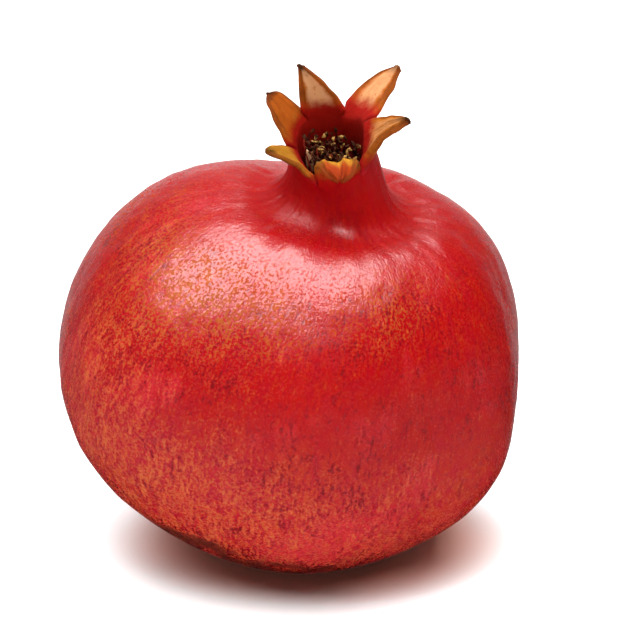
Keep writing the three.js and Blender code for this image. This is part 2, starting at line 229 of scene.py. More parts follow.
skin = skin_grid()
skin_height = np.concatenate([outline[:, 1], [85.4, 86.1, 86.7, 87.25]])
skin_run = np.concatenate([outline_run, outline_run[-1] + np.array([0.6, 1.2, 1.9, 2.5])])
print("skin grid:", skin.shape[:2])

# %% [markdown]
# ## Relief that light catches
#
# Leathery skin is never a clean curve. Wide shallow lumps break up the reflections, radial folds gather
# where the skin turns up into the neck, and a furrow runs down from each notch. All are pushed along the
# normal, and they fade out at the rim so that the lobes still fit.


# %% Push the skin along its normals
def grid_normals(grid):
    """Cross product of the steps round the fruit and up it, at every grid point."""
    around = np.roll(grid, -1, 1) - np.roll(grid, 1, 1)
    normal = np.cross(around, np.gradient(grid, axis=0))
    return normal / np.maximum(np.linalg.norm(normal, axis=-1, keepdims=True), 1e-9)


def neck_folds(azimuth, height, radius):
    """Cosines of 17, 23, 31 and 43 times the azimuth, where the skin turns from the shoulder to the neck."""
    where = soft_step(71, 75, height) * (1 - soft_step(80, 85, height)) * (1 - soft_step(17, 27, radius))
    waves = sum(size * np.cos(count * azimuth + count * count + 0.5 * np.sin(2 * azimuth + count))
                for count, size in ((17, 0.5), (23, 0.6), (31, 0.5), (43, 0.35)))
    return where * waves


def furrows(azimuth, height):
    """A narrow bell-shaped groove under each notch, deepest near the rim."""
    away = (np.degrees(azimuth)[..., None] - NOTCHES + 180) % 360 - 180
    return soft_step(78, 85, height) * np.exp(-(away / 5.5) ** 2).sum(-1)


rise = skin_height[:, None]
far = np.hypot(skin[..., 0], skin[..., 1])
relief = 0.10 * lumps(skin, 24, 9, 40, 5) * soft_step(4, 20, rise)
relief += 0.05 * lumps(skin, 8, 3.2, 60, 6) * soft_step(4, 20, rise)
relief += 0.07 * neck_folds(azimuths[None, :], rise, far)
relief -= 0.45 * furrows(azimuths[None, :], rise)
relief *= 1 - soft_step(85.2, 87.2, rise)
skin = skin + grid_normals(skin) * relief[..., None]
print("relief, mm:", round(relief.min(), 2), "to", round(relief.max(), 2))

# %% [markdown]
# ## The six lobes
#
# Each lobe is a dry, pointed trough. A centre line leans outward as it rises, and arcs across it shrink
# towards the tip. The outer and inner faces are two such grids; a rounded margin joins them, and at the
# notches neighbouring lobes share the same edge, so the calyx is one closed skin.

# %% Numbers of the lobes, from the left and anticlockwise
LOBES = [
    # length, lean at foot and tip, how early it leans, sway, width kept at tip, taper, trough at foot and tip
    (8.7, 31.0, 70.8, 0.97, 1.0, 0.36, 0.67, 39.0, 6.4),
    (11.2, 3.0, 116.0, 1.25, -4.0, 0.66, 1.4, 34.0, 8.0),
    (14.7, 30.0, 51.3, 0.76, -14.4, 0.38, 1.06, 39.8, 17.4),
    (12.9, 35.9, 61.8, 0.3, 3.2, 0.14, 1.58, 35.3, 13.6),
    (10.5, -3.0, 2.3, 1.02, 33.9, 0.11, 1.66, 40.1, 31.6),
    (7.3, 18.4, 44.0, 0.94, -5.4, 0.72, 1.62, 37.7, 13.7),
]
LOBE_ROWS = 30
FINE_STEPS = 6


def lobe_line(length, lean, sway):
    """Sums of small steps that lean out from the axis and sway sideways, given half-way round each step."""
    step = length / (LOBE_ROWS * FINE_STEPS)
    moves = step * np.stack([np.sin(lean) * np.cos(sway), np.cos(lean) * np.cos(sway), np.sin(sway)], -1)
    sums = np.vstack([np.zeros(3), np.cumsum(moves, axis=0)])
    return sums[::FINE_STEPS]


def lobe_face(index, inner):
    """Rows along the lobe by columns across it. Each row is an arc of a trough; the inner face lies a wall
    thickness further in. The foot is moved onto the rim by an offset that fades with the square."""
    length, lean_a, lean_b, lean_power, sway, tip, taper, cup_a, cup_b = LOBES[index]
    fine = (np.arange(LOBE_ROWS * FINE_STEPS) + 0.5) / (LOBE_ROWS * FINE_STEPS)
    line = lobe_line(length, np.radians(mix(lean_a, lean_b, fine**lean_power)), np.radians(sway * fine))
    t = np.linspace(0, 1, LOBE_ROWS + 1)[:, None]
    v = np.linspace(-1, 1, LOBE_COLUMNS + 1)[None, :]
    lean = np.radians(mix(lean_a, lean_b, t**lean_power))
    cup = np.radians(mix(cup_a, cup_b, t))
    body = (1 - tip) * np.maximum(1 - t**taper, 0) ** 0.9
    width = TUBE_RADIUS / 2 * np.maximum(0.14, body + tip * np.sqrt(np.maximum(1 - t**6, 0)))
    sunk = width * (1 - np.cos(cup * v)) / np.sin(cup)
    thick = WALL * (1 - 0.5 * t) * (1 - 0.25 * v**4) if inner else 0 * t * v
    inward = sunk + thick * np.cos(cup * v)
    narrowing = np.minimum(thick, 0.4 * width / np.sin(cup))
    out = TUBE_RADIUS + line[:, :1] - inward * np.cos(lean)
    base = RIM_HEIGHT + (NOTCH_RISES[index] + NOTCH_RISES[(index + 1) % 6]) / 2
    up = base + line[:, 1:2] + inward * np.sin(lean)
    side = line[:, 2:] + width * np.sin(cup * v) / np.sin(cup) - narrowing * np.sin(cup * v)
    middle = math.radians(NOTCHES[index] + 30)
    face = np.stack([
        out * math.cos(middle) - side * math.sin(middle),
        out * math.sin(middle) + side * math.cos(middle),
        up,
    ], -1)
    rim = rim_ring(TUBE_RADIUS - (WALL if inner else 0))
    columns = (index * LOBE_COLUMNS + np.arange(LOBE_COLUMNS + 1)) % COLUMNS
    return face + (rim[columns] - face[0]) * (1 - t[..., None]) ** 2


# How deep the dry tissue of each lobe ruffles, in millimetres; the front lobe ruffles most
RUFFLES = [0.12, 0.42, 0.15, 0.05, 0.05, 0.05]


def crinkle(face, index, inner):
    """Pushes a face along its normal by cosines across the lobe, for ridges and ruffles, and by soft lumps.
    All of them grow from nothing at the foot, where the face meets the rim."""
    t = np.linspace(0, 1, LOBE_ROWS + 1)[:, None]
    v = np.linspace(-1, 1, LOBE_COLUMNS + 1)[None, :]
    normal = np.cross(np.gradient(face, axis=1), np.gradient(face, axis=0))
    normal /= np.maximum(np.linalg.norm(normal, axis=-1, keepdims=True), 1e-9)
    ridges = 0.05 * np.cos(13 * v + index * 2 + 1.5 * t) + 0.04 * np.cos(22 * v - 2 * t + index)
    soft = 0.16 * lumps(face, 7, 2.5, 30, 40 + index)
    height = (ridges * (1 - v**4) + soft) * soft_step(0.02, 0.25, t) * (1 - 0.5 * soft_step(0.8, 1, t))
    ruffle = RUFFLES[index] * (np.cos(6 * v + 0.6) + 0.6 * np.cos(10.5 * v - 1)) * soft_step(0.2, 0.8, t)
    return face + normal * (height * (0.7 if inner else 1) + ruffle)[..., None]


outer_faces = [crinkle(lobe_face(i, False), i, False) for i in range(6)]
inner_faces = [crinkle(lobe_face(i, True), i, True) for i in range(6)]
thinnest = min(np.linalg.norm(a[1:] - b[1:], axis=-1).min() for a, b in zip(outer_faces, inner_faces))
print("lobe grids:", outer_faces[0].shape[:2], "thinnest wall, mm:", round(thinnest, 2))


# %% Inside of the cup
def cup_grid():
    """Rings from the rim down the inner wall and over the floor, sinking from the rim to a flat floor."""
    radius = TUBE_RADIUS - WALL
    rim = rim_ring(radius)
    floor = RIM_HEIGHT - CUP_DEPTH
    share = np.array([1, 1, 1, 1, 1, 0.995, 0.99, 0.97, 0.92, 0.82, 0.7, 0.5, 0.35, 0.15])[:, None]
    depth = np.array([0, 0.1, 0.2, 0.35, 0.5, 0.63, 0.75, 0.86, 0.94, 0.98, 1, 1, 1, 1])[:, None]
    rings = np.stack([rim[:, 0] * share, rim[:, 1] * share, mix(rim[:, 2], floor, depth)], -1)
    return rings, depth[:, 0]


cup, cup_depth = cup_grid()
print("cup grid:", cup.shape[:2])

# %% [markdown]
# ## One closed mesh
#
# Every grid is added to one list of points, and neighbouring rows are joined by quads. Each point also
# carries marks that the finish reads: where it lies along the skin, how far up a lobe, on which face, how
# deep in the cup for painted shade, and how much russet, pink or dark the skin has there; the pink is
# partly painted reflection and the dark partly painted shade.


# %% Collect points, marks and faces
class Surface:
    """Points with their marks, and the faces between rows of them."""

    def __init__(self, *labels):
        self.labels = labels
        self.points = []
        self.marks = {label: [] for label in labels}
        self.faces = []
        self.count = 0

    def add(self, points, **marks):
        """Adds an array of points, with a triple for each mark; gives their numbers in the same shape."""
        points = np.asarray(points, float)
        shape = points.shape[:-1]
        self.points.append(points.reshape(-1, 3))
        for label in self.labels:
            triple = [np.asarray(part, float) for part in marks.get(label, (0, 0, 0))]
            values = np.stack(np.broadcast_arrays(*triple), -1)
            self.marks[label].append(np.broadcast_to(values, shape + (3,)).reshape(-1, 3))
        numbers = self.count + np.arange(int(np.prod(shape))).reshape(shape)
        self.count += numbers.size
        return numbers

    def join(self, rows, closed=False):
        """Quads between neighbouring rows; a closed grid also joins its last column to its first."""
        if closed:
            rows = np.concatenate([rows, rows[..., :1]], -1)
        quads = np.stack([rows[..., :-1, :-1], rows[..., :-1, 1:], rows[..., 1:, 1:], rows[..., 1:, :-1]], -1)
        self.faces.extend(quads.reshape(-1, 4).tolist())

    def fan(self, centres, rings):
        """Triangles from a point to each closed ring, facing the way in which the ring turns."""
        centres = np.broadcast_to(np.asarray(centres)[..., None], rings.shape)
        triangles = np.stack([centres, rings, np.roll(rings, -1, -1)], -1)
        self.faces.extend(triangles.reshape(-1, 3).tolist())

    def to_object(self, name, finish):
        """A smooth mesh object at the origin, with every point settled into the frame."""
        mesh = bpy.data.meshes.new(name)
        mesh.from_pydata(settle(np.concatenate(self.points)).tolist(), [], self.faces)
        for label, values in self.marks.items():
            layer = mesh.attributes.new(label, "FLOAT_VECTOR", "POINT")
            layer.data.foreach_set("vector", np.concatenate(values).astype(np.float32).ravel())
        mesh.polygons.foreach_set("use_smooth", np.ones(len(mesh.polygons), bool))
        mesh.materials.append(finish)
        made = bpy.data.objects.new(name, mesh)
        bpy.context.scene.collection.objects.link(made)
        print(name + ":", self.count, "points,", sum(len(face) - 2 for face in self.faces), "triangles")
        return made


# %% [markdown]
# ## Where the skin is russet, pink or dark
#
# A ripe fruit is not one red. Corky russet spreads over the side that faced the weather. The lower front
# and the left side are pinker, partly the skin's own tone and partly painted reflection of the white table.
# Dark marks old bruises, a band of painted shade round the front of the neck under the lobes, and darker
# patches low on the front. Wide bells placed by azimuth and height give each tone its areas, and waves
# make their edges ragged.

# %% Tone maps of the skin
# Each area: azimuth and height of its middle, reach in azimuth (degrees) and in height (mm), strength
RUSSET_AREAS = [
    (-88, 30, 50, 12, 0.30), (-140, 42, 20, 17, 0.6), (-112, 24, 28, 15, 0.5), (-150, 32, 24, 22, 0.2),
    (-124, 67, 26, 7, 0.5), (-62, 68, 14, 6, 0.25), (-42, 54, 18, 14, -0.35), (-80, 50, 18, 10, -0.3),
    (-75, 16, 50, 8, 0.3), (-60, 22, 20, 8, 0.15), (140, 40, 45, 24, 0.4), (60, 30, 40, 22, 0.3),
]
# Pink: partly the skin's own tone, partly painted reflection of the white table on the lower front and the left side
PINK_AND_REFLECTION_AREAS = [
    (-62, 20, 22, 14, 0.6), (-85, 22, 40, 10, 0.45), (-105, 10, 40, 9, 0.3), (-160, 34, 22, 26, 0.5),
    (-88, 56, 12, 6, 0.2), (100, 20, 60, 16, 0.6),
]
# Dark: bruises, a band of painted shade round the front of the neck under the lobes, and darker patches low on the
# front
BRUISE_AND_SHADE_AREAS = [
    (-38, 55, 9, 6, 0.35), (-88, 77.5, 45, 3.5, 0.5), (-100, 12, 60, 6, 1.2), (-58, 8, 9, 3, 0.5),
    (-80, 40, 16, 8, 0.3), (-118, 14, 8, 4, 0.4), (80, 40, 12, 8, 0.5), (170, 12, 14, 5, 0.6),
]
# Where wax is kept up to the neck: azimuth, way along the skin in mm, reach in both, strength
GLEAM_AREAS = [(-121, 120.6, 15, 3.2, 2.2), (-83, 123.4, 8, 1.6, 1.6), (80, 130, 95, 25, 1.0)]


def area_sum(areas, azimuth, height):
    """Sum of bells: strength times the exponential of minus the squared reach in azimuth and height."""
    total = 0
    for middle, level, wide, tall, strength in areas:
        away = (azimuth - middle + 180) % 360 - 180
        total = total + strength * np.exp(-(away / wide) ** 2 - ((height - level) / tall) ** 2)
    return total


def tones(azimuth, height, points):
    """Russet, pink and dark shares of the skin, from the areas and from waves that roughen their edges."""
    degrees = np.degrees(azimuth)
    wide = lumps(points, 45, 16, 30, 11)
    small = lumps(points, 15, 6, 40, 12)
    russet = 0.05 + area_sum(RUSSET_AREAS, degrees, height) + 0.12 * wide + 0.08 * small
    russet = russet * (1 - 0.85 * soft_step(70, 78, height))
    # The pink share is partly painted reflection of the table, and the dark share partly painted shade
    pink = area_sum(PINK_AND_REFLECTION_AREAS, degrees, height) + 0.25 * lumps(points, 30, 10, 30, 13)
    dark = area_sum(BRUISE_AND_SHADE_AREAS, degrees, height) + 0.2 * lumps(points, 22, 7, 40, 14) - 0.05
    return 0.6 * np.tanh(np.clip(russet, 0, 1) / 0.6), np.clip(pink, 0, 1), np.clip(dark, 0, 1)


# %% [markdown]
# ## Shader maths as expressions
#
# A finish is easier to read as sums and products than as a list of nodes. A small class wraps a socket,
# so that `1 - mask * 0.5` adds its own Math nodes, and one method adds any other node.


# %% The socket class and the node maker
class Value:
    """A node's output that can be used in expressions of numbers."""

    def __init__(self, finish, socket):
        self.finish = finish
        self.socket = socket

    def maths(self, operation, *others, clamp=False):
        """A Math node of that operation on the given values."""
        settings = {"operation": operation, "use_clamp": clamp}
        return self.finish.node("ShaderNodeMath", settings, dict(enumerate(others)))

    def __add__(self, other):
        return self.maths("ADD", self, other)

    def __radd__(self, other):
        return self.maths("ADD", other, self)

    def __sub__(self, other):
        return self.maths("SUBTRACT", self, other)

    def __rsub__(self, other):
        return self.maths("SUBTRACT", other, self)

    def __mul__(self, other):
        return self.maths("MULTIPLY", self, other)

    def __rmul__(self, other):
        return self.maths("MULTIPLY", other, self)

    def clipped(self):
        """The value kept between 0 and 1."""
        return self.maths("ADD", self, 0.0, clamp=True)

    def step(self, low, high):
        """0 at low, 1 at high, smooth between; the ends may be values too."""
        inputs = {"Value": self, "From Min": low, "From Max": high}
        return self.finish.node("ShaderNodeMapRange", {"interpolation_type": "SMOOTHSTEP"}, inputs)


class Finish:
    """A material with one Principled shader, and methods that add nodes to it."""

    def __init__(self, name):
        self.material = bpy.data.materials.new(name)
        self.material.use_nodes = True
        self.tree = self.material.node_tree
        self.shader = self.tree.nodes["Principled BSDF"]

    def connect(self, socket, value):
        """A link where the value is a node's output, and otherwise a plain number, colour or vector."""
        if isinstance(value, Value):
            self.tree.links.new(value.socket, socket)
        elif isinstance(value, (tuple, list)) and socket.type == "RGBA" and len(value) == 3:
            socket.default_value = (*value, 1)
        else:
            socket.default_value = value

    def node(self, kind, settings=None, inputs=None, output=0):
        """Adds a node of that type, sets its settings, then its sockets by name or number."""
        made = self.tree.nodes.new(kind)
        for key, value in (settings or {}).items():
            setattr(made, key, value)
        for key, value in (inputs or {}).items():
            self.connect(made.inputs[key], value)
        return Value(self, made.outputs[output])

    def mark(self, label):
        """The three parts of a mark that the mesh carries."""
        vector = self.mark_vector(label)
        return [self.node("ShaderNodeSeparateXYZ", None, {0: vector}, output=i) for i in range(3)]

    def mark_vector(self, label):
        """The mark as one vector."""
        return self.node("ShaderNodeAttribute", {"attribute_name": label}, output="Vector")

    def stretched(self, vector, x, y, z):
        """The vector with its parts divided by three lengths."""
        return self.node("ShaderNodeVectorMath", {"operation": "MULTIPLY"}, {0: vector, 1: (1 / x, 1 / y, 1 / z)})

    def noise(self, vector, detail=2.0, roughness=0.5, distortion=0.0):
        """Layered noise of a place, with values round one half."""
        inputs = {"Vector": vector, "Scale": 1.0, "Detail": detail, "Roughness": roughness, "Distortion": distortion}
        return self.node("ShaderNodeTexNoise", None, inputs)

    def blend(self, share, a, b, mode="MIX"):
        """Colour a, turning into colour b by the share."""
        settings = {"data_type": "RGBA", "blend_type": mode, "clamp_factor": True}
        return self.node("ShaderNodeMix", settings, {"Factor": share, 6: a, 7: b}, output=2)

    def bump(self, height):
        """The normal turned by a height in millimetres."""
        return self.node("ShaderNodeBump", None, {"Height": height, "Distance": MM, "Strength": 1.0})

    def finish(self, **sockets):
        """Feeds the shader: names with an underscore for each space."""
        for name, value in sockets.items():
            self.connect(self.shader.inputs[name.replace("_", " ")], value)
        return self.material

    def glaze(self, share, roughness, ior):
        """A second shader with the same colour and normal but more gloss, mixed over the first by the share."""
        glossy = self.tree.nodes.new("ShaderNodeBsdfPrincipled")
        for name in ("Base Color", "Normal"):
            self.tree.links.new(self.shader.inputs[name].links[0].from_socket, glossy.inputs[name])
        self.connect(glossy.inputs["Roughness"], roughness)
        self.connect(glossy.inputs["IOR"], ior)
        mixed = self.tree.nodes.new("ShaderNodeMixShader")
        self.connect(mixed.inputs[0], share)
        self.tree.links.new(self.shader.outputs[0], mixed.inputs[1])
        self.tree.links.new(glossy.outputs[0], mixed.inputs[2])
        self.tree.links.new(mixed.outputs[0], self.tree.nodes["Material Output"].inputs["Surface"])


# %% [markdown]
# ## The finish of rind and calyx
#
# The rind is saturated crimson under a thin wax. Corky russet lies on it as a haze, as golden flecks drawn
# out along the fruit and as fine tan pores. There is less wax on cork, so cork shines less than the skin
# round it, and the wax ends up the neck apart from a few bright places. The same skin dries to orange and
# brown on the lobes, with a paler pinkish inner face.

# %% Rind: reds, russet flecks, pores and scars
RED_CRIMSON = (0.25, 0.0004, 0.0035)
RED_SCARLET = (0.26, 0.0005, 0.0003)
RED_DARK = (0.10, 0.0002, 0.0006)
RED_PINK_AND_REFLECTION = (0.34, 0.009, 0.016)
RED_ROSE = (0.29, 0.0012, 0.012)
RED_RUST = (0.31, 0.026, 0.005)
HAZE_ORANGE = (0.38, 0.046, 0.014)
HAZE_GOLD = (0.38, 0.050, 0.012)
FLECK_GOLD = (0.38, 0.095, 0.020)
PORE_TAN = (0.21, 0.085, 0.014)
SCAR_BROWN = (0.040, 0.007, 0.004)


def rind_colour(f, place, run, height, tone):
    """Reds by slow noise, pink and dark by the tone maps, then haze, flecks, pores and scars over them."""
    russet, pink, dark = tone
    broad = f.noise(f.stretched(run, 2.8, 2.8, 11), 3.0, 0.55)
    streak = f.noise(f.stretched(run, 0.75, 0.75, 2.0), 2.0, 0.55, 0.3)
    grain = f.noise(f.stretched(run, 0.7, 0.7, 0.95), 1.5, 0.6)
    blotch = f.noise(f.stretched(place, 5.5, 5.5, 5.5), 3.0, 0.6)
    speckle = f.noise(f.stretched(place, 0.5, 0.5, 0.5), 1.0, 0.5)
    colour = f.blend((broad * 0.6 + streak * 0.5).step(0.42, 0.66), RED_CRIMSON, RED_SCARLET)
    lower = (1.1 - height.step(32, 52)).clipped()
    mingled = (streak * 0.9 + speckle * 0.7 + broad * 0.5 - 1.05).step(-0.2, 0.2)
    colour = f.blend(lower * 0.8, colour, f.blend(mingled, RED_ROSE, RED_RUST))
    # Pink: partly painted reflection of the white table on the lower front and the left side
    colour = f.blend((pink * 0.8 + (broad - 0.5) * 1.2 + (blotch - 0.5) * 0.8).step(0.1, 0.7), colour, RED_PINK_AND_REFLECTION)
    belly = 1 - height.step(70, 77) * 0.85
    # Darker reds: random mottling, bruises, and painted shade round the front of the neck under the lobes
    shade = dark * 0.8 + (blotch - 0.55) * 1.4 + ((0.5 - streak) * 2.6 + (0.5 - speckle) * 2.0) * belly
    colour = f.blend(shade.step(0.1, 0.9) * 0.85, colour, RED_DARK)
    haze = russet * 1.1 + (streak - 0.5) * 2.6 + (speckle - 0.5) * 1.6 + (broad - 0.5) * 1.2 - 0.28
    haze = haze.step(-0.1, 1.1)
    colour = f.blend(haze * belly * (0.25 + russet * 2.0).clipped() * 0.85, colour, HAZE_ORANGE)
    fleck = russet * 0.95 + (streak - 0.5) * 2.6 + (speckle - 0.5) * 2.4 + (broad - 0.5) * 1.2 - 0.6
    fleck = fleck.step(-0.1, 1.2)
    gold = f.blend((grain + blotch - 0.5).step(0.35, 0.65), HAZE_GOLD, FLECK_GOLD)
    colour = f.blend(fleck * belly * 0.8, colour, gold)
    upper = height.step(48, 62)
    pore = speckle - 0.5 + (streak - 0.5) * 0.3 + (russet - 0.35) * 0.16 + upper * 0.03
    pore = (pore - 0.01).step(-0.02, 0.13) * belly
    colour = f.blend(pore * (0.12 + upper * 0.55) * (0.08 + russet * 1.7).clipped(), colour, PORE_TAN)
    scar = (dark * 0.55 + (blotch - 0.5) * 1.1 + (streak - 0.5) * 0.8).step(0.42, 0.66)
    colour = f.blend(scar * 0.75, colour, SCAR_BROWN)
    cork = (fleck * 0.3 + pore * (0.3 + upper * 0.6) + scar * 0.6 + haze * 0.1 + (0.5 - streak) * 0.8).clipped()
    return colour, cork, streak, speckle, blotch


# %% Calyx: dry orange, tan inner faces, brown tips
DRY_ORANGE = (0.44, 0.115, 0.011)
DRY_AMBER = (0.34, 0.072, 0.006)
DRY_BROWN = (0.12, 0.024, 0.004)
DRY_TAN = (0.62, 0.300, 0.135)
DRY_YELLOW = (0.42, 0.200, 0.016)
FLUSH_RED = (0.30, 0.022, 0.004)
TIP_DARK = (0.035, 0.009, 0.004)
CUP_RED = (0.26, 0.006, 0.003)
# Painted shade: the cup's red turns to this near black further down
CUP_PAINTED_SHADE = (0.014, 0.0015, 0.001)


def calyx_colour(f, place, run, zone, spot, tone):
    """Outer face orange to brown, inner face tan with orange margins, tips dark; the cup red, turning black
    with depth as painted shade.
    """
    share, inner = zone[1], zone[2]
    margin, yellow, depth = spot
    flush, dark_tip, tan = tone
    grain = f.noise(f.stretched(run, 0.8, 0.8, 5.0), 3.0, 0.6)
    mottle = f.noise(f.stretched(place, 1.6, 1.6, 1.6), 3.0, 0.6)
    outside = f.blend((grain * 0.8 + mottle * 0.6).step(0.45, 0.95), DRY_BROWN, DRY_ORANGE)
    inside = f.blend((tan + (grain - 0.5) * 0.9 + (mottle - 0.5) * 0.6).step(0.1, 0.9), DRY_AMBER, DRY_TAN)
    inside = f.blend((margin + (mottle - 0.5) * 0.6 + (grain - 0.5) * 0.4).step(0.55, 0.92), inside, DRY_AMBER)
    inside = f.blend(yellow * (0.55 + mottle * 0.6), inside, DRY_YELLOW)
    inside = f.blend((mottle - 0.56).step(0, 0.14) * 0.6, inside, DRY_ORANGE)
    colour = f.blend(inner, outside, inside)
    colour = f.blend(flush * (0.5 + mottle * 0.8), colour, FLUSH_RED)
    tip = (share + (mottle - 0.5) * 0.3 + (grain - 0.5) * 0.15).step(0.80, 1.0) * dark_tip
    colour = f.blend(tip * 0.95, colour, TIP_DARK)
    edge = (margin + (mottle - 0.5) * 0.3).step(0.84, 0.98) * (share * 2).clipped()
    colour = f.blend(edge * 0.7, colour, DRY_BROWN)
    speck = (mottle * 0.6 + grain * 0.5 - 0.66).step(0, 0.06) * (share * 3).clipped()
    colour = f.blend(speck * 0.7, colour, TIP_DARK)
    foot = (share + (mottle - 0.5) * 0.2 - tan * 0.08).step(0.08, 0.34)
    # Painted shade: the cup's red darkens to near black with depth, as shade in the recess
    red = f.blend((depth + (mottle - 0.5) * 0.7 + (grain - 0.5) * 0.5).step(0.25, 0.85), CUP_RED, CUP_PAINTED_SHADE)
    return f.blend(foot, red, colour), mottle, grain


# %% One finish for rind and calyx
NECK_MATTE = (117.0, 120.5)  # way along the skin, in mm, over which the wax ends
DRY_GLOSS = 0.025
WAX_IOR = 1.45


def fruit_finish():
    """Waxy where it is rind, and almost without gloss in pores, up the neck and where the calyx is dry."""
    f = Finish("rind_and_calyx")
    place = f.node("ShaderNodeTexCoord", output="Object")
    place = f.node("ShaderNodeVectorMath", {"operation": "SCALE"}, {0: place, "Scale": 1 / MM})
    run = f.mark_vector("run")
    zone, spot, tone = f.mark("zone"), f.mark("spot"), f.mark("tone")
    up_skin = f.mark("run")[2]
    rind, cork, streak, fleck_grain, blotch = rind_colour(f, place, run, zone[0], tone)
    calyx, mottle, grain = calyx_colour(f, place, run, zone, spot, tone)
    lobe = (zone[1] + (mottle - 0.5) * 0.12).step(0.02, 0.20)
    lobe = lobe.maths("MAXIMUM", lobe, zone[2].step(0.3, 0.7))
    pebble = f.noise(f.stretched(place, 0.8, 0.8, 0.8), 2.0, 0.55)
    swell = f.noise(f.stretched(place, 3.4, 3.4, 3.4), 2.0, 0.5)
    skin_mm = pebble * 0.07 + swell * 0.1 + streak * 0.06 + fleck_grain * 0.035
    dry_mm = mottle * 0.35 + grain * 0.35
    relief = f.bump(skin_mm * (1 - lobe) + dry_mm * lobe)
    rough = (0.55 + mottle * 0.25).clipped()
    f.finish(Base_Color=f.blend(lobe, rind, calyx), Roughness=rough, Normal=relief, Specular_IOR_Level=DRY_GLOSS)
    matte_neck = up_skin.step(*NECK_MATTE) * (1 - spot[1])
    wax = (0.95 - cork * 1.1 - matte_neck).clipped() * (1 - lobe)
    wax_rough = 0.25 + cork * 0.2 + (blotch - 0.5) * 0.1
    f.glaze(wax, wax_rough.clipped(), WAX_IOR)
    return f.material


# %% [markdown]
# ## Put the fruit together
#
# Skin, cup, lobes, margins and tips go into one surface. The margins are half rounds between the two
# faces, as thick as the wall, and at each notch they shrink to the straight edge that two lobes share.

# %% Marks and rows of skin and cup
LOBE_YELLOW = [0.8, 0.9, 0.25, 0.05, 0.0, 0.0]
LOBE_FLUSH = [0.0, 0.9, 0.0, 0.0, 0.0, 0.0]
LOBE_TIP = [0.6, 0.1, 1.0, 0.6, 1.0, 0.8]
LOBE_TAN = [0.1, 0.2, 0.5, 0.7, 1.0, 0.0]
ROUND_SHARES = np.array([0.146, 0.5, 0.854])
ROUND_REACH = np.array([0.354, 0.5, 0.354])
columns_v = np.abs(((np.degrees(azimuths) - NOTCHES[0]) % 60) / 30 - 1)
around = np.stack([BODY_RADIUS * np.cos(azimuths), BODY_RADIUS * np.sin(azimuths)], -1)

fruit = Surface("run", "zone", "spot", "tone")
tone_rows = tones(azimuths[None, :], skin_height[:, None], skin)
gleam = area_sum(GLEAM_AREAS, np.degrees(azimuths)[None, :], skin_run[:, None])
skin_rows = fruit.add(
    skin,
    run=(around[None, :, 0], around[None, :, 1], skin_run[:, None]),
    zone=(skin_height[:, None] + 0 * azimuths, 0, 0),
    spot=(columns_v[None, :], gleam, 0),
    tone=tone_rows,
)
pole = fruit.add(np.array([[0, 0, 1.2]]), zone=(1.2, 0, 0), tone=(0.9, 0, 0.5))
fruit.join(skin_rows, closed=True)
fruit.fan(pole[0], skin_rows[0][::-1])
cup_rows = fruit.add(
    cup,
    run=(around[None, :, 0], around[None, :, 1], skin_run[-1] - CUP_DEPTH * cup_depth[:, None]),
    zone=(RIM_HEIGHT - CUP_DEPTH * cup_depth[:, None] + 0 * azimuths, 0, 1),
    # The third spot mark is the depth in the cup, which the finish turns into painted shade
    spot=(columns_v[None, :], 0, cup_depth[:, None]),
)
floor_point = fruit.add(np.array([[0, 0, RIM_HEIGHT - CUP_DEPTH]]), zone=(78, 0, 1), spot=(0, 0, 1))
fruit.join(cup_rows, closed=True)
fruit.fan(floor_point[0], cup_rows[-1])


# %% Lobes, margins and tips
def edge_between(inner, outer, outward, reach):
    """Three points on a half round from the inner to the outer point, bulging outward."""
    shares, bulge = ROUND_SHARES[:, None], ROUND_REACH[:, None]
    thick = np.linalg.norm(outer - inner, axis=-1)[..., None, None]
    return mix(inner[..., None, :], outer[..., None, :], shares) + outward[..., None, :] * bulge * thick * reach


def unit(vectors):
    """Vectors with length one."""
    return vectors / np.maximum(np.linalg.norm(vectors, axis=-1, keepdims=True), 1e-9)


def lobe_marks(index, t, v, inner):
    """The marks of lobe points: skin run going on past the rim, share up the lobe, face, margin and tint."""
    azimuth = np.radians(NOTCHES[index] + 30 + 30 * v)
    length = LOBES[index][0]
    run = skin_run[-1] + length * t + 30 * inner
    yellow = LOBE_YELLOW[index] * soft_step(0.0, 0.25, t) * (1 - LOBE_FLUSH[index] * soft_step(0.62, 0.8, t))
    return {
        "run": (BODY_RADIUS * np.cos(azimuth), BODY_RADIUS * np.sin(azimuth), run),
        "zone": (RIM_HEIGHT + length * t, t, inner),
        "spot": (np.abs(v), yellow, 0),
        "tone": (LOBE_FLUSH[index] * soft_step(0.62, 0.84, t) + 0 * v, LOBE_TIP[index], LOBE_TAN[index]),
    }


rim_outer, rim_inner = skin[-1], cup[0]
notch_columns = np.arange(6) * LOBE_COLUMNS
notch_edges = fruit.add(
    edge_between(rim_inner[notch_columns], rim_outer[notch_columns], np.zeros((6, 3)), 0),
    zone=(RIM_HEIGHT, 0.0, 0.5), spot=(1, 0, 0), tone=(0.2, 0, 0),
)


